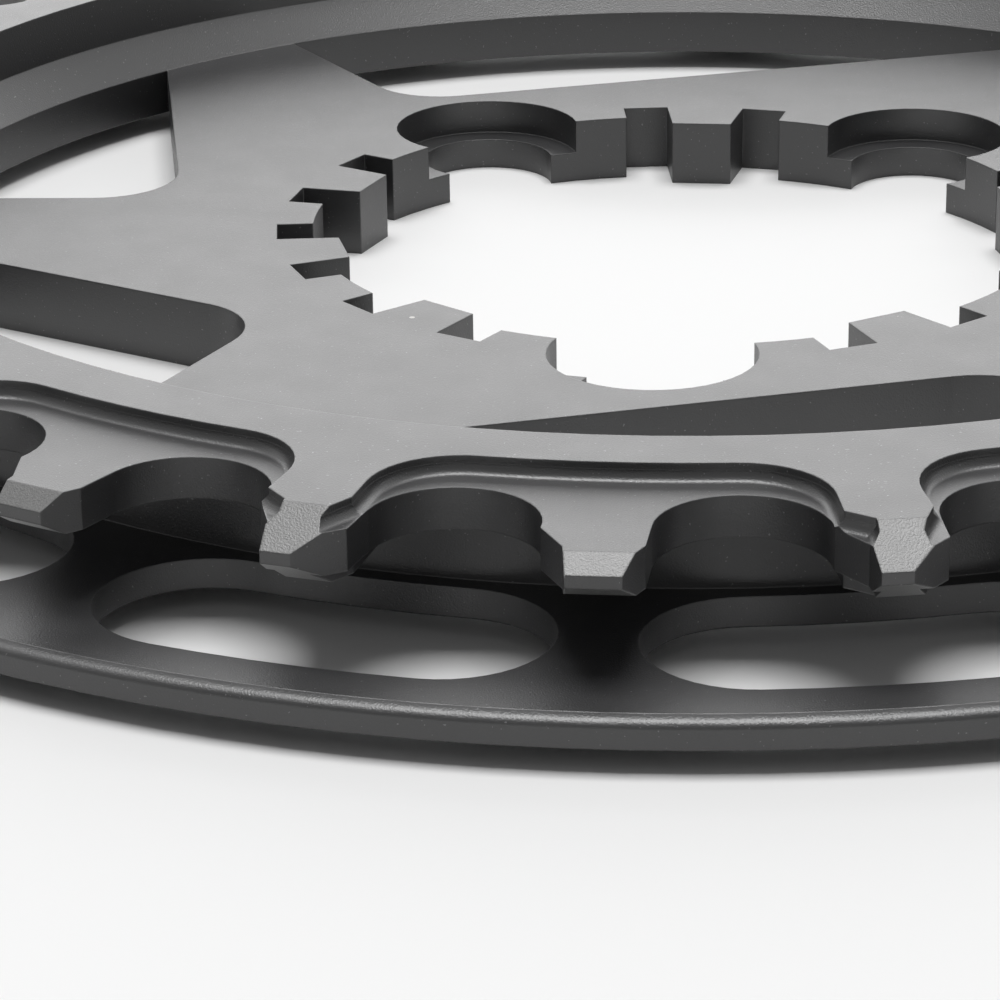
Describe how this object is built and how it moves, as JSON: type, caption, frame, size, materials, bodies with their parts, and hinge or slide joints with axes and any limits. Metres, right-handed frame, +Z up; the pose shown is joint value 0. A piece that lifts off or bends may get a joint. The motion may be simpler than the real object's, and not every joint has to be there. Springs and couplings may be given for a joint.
{
  "type": "bicycle chainring",
  "caption": "Narrow-wide bicycle chainring with milled tooth pockets, a dished open spider, a splined bore with stepped bolt seats and a slotted guard ring below the teeth.",
  "frame": {"origin": "on the ring's axis, in the plane of the spider's lower face that the ring rests on", "axes": "+Z up along the axis, towards the pocketed face of the teeth; -Y towards the near teeth of the picture"},
  "size_m": [0.128, 0.128, 0.0089],
  "materials": {
    "anodised": "bead-blasted, black anodised, satin"
  },
  "bodies": {
    "root": {"chainring": "anodised"}
  },
  "joints": []
}
